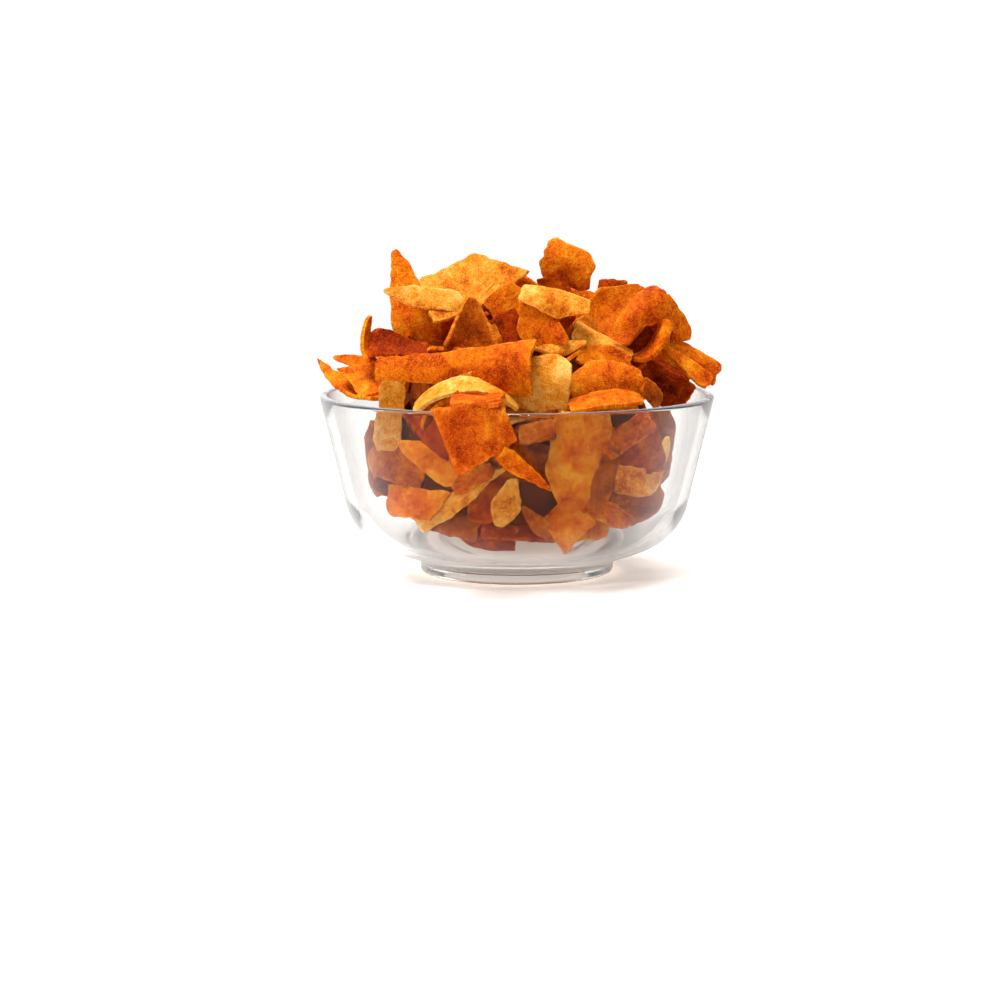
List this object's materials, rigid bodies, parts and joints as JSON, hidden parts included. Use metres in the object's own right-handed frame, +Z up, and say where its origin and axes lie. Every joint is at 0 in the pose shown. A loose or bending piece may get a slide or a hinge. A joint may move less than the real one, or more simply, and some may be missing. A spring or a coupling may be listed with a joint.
{
  "type": "bowl of crisps",
  "caption": "Clear glass bowl on a low foot, heaped above its rim with curled, seasoned corn crisps, one of them hanging over the rim.",
  "frame": {"origin": "on the table under the middle of the bowl's foot", "axes": "+Z up; the shown side faces -Y, with +X to the viewer's right"},
  "size_m": [0.1437, 0.1439, 0.1174],
  "materials": {
    "glass": "clear polished glass",
    "crisp": "dry fried corn with orange seasoning"
  },
  "bodies": {
    "root": {"bowl": "glass", "crisps": "crisp"}
  },
  "joints": []
}
